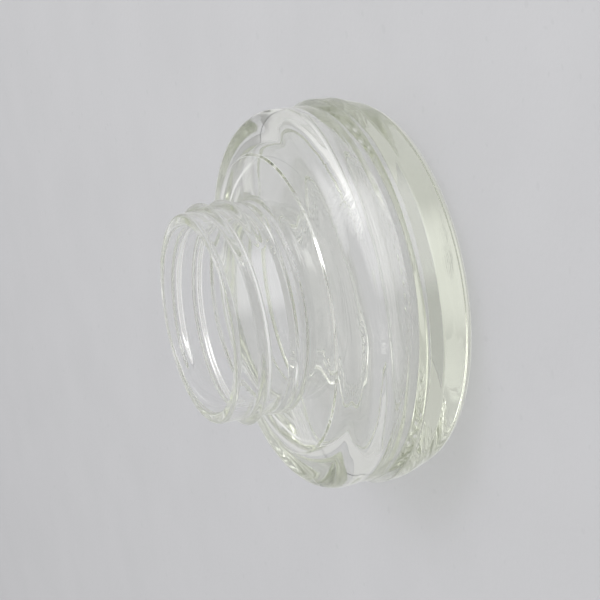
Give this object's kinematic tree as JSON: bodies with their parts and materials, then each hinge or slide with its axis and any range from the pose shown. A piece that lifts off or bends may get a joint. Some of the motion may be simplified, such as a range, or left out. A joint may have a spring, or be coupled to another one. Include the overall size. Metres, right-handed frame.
{
  "type": "screw-neck glass body",
  "caption": "Squat hollow clear glass body with a heavy base, a sloping shoulder and a short externally threaded neck.",
  "frame": {"origin": "centre of the flat bearing ring that the base rests on", "axes": "+Z along the axis of revolution, from the base to the open mouth; +X through the mould seam"},
  "size_m": [0.0748, 0.0748, 0.0408],
  "materials": {
    "clear_glass": "fire-polished clear glass with a faint green cast"
  },
  "bodies": {
    "root": {"glass_body": "clear_glass"}
  },
  "joints": []
}
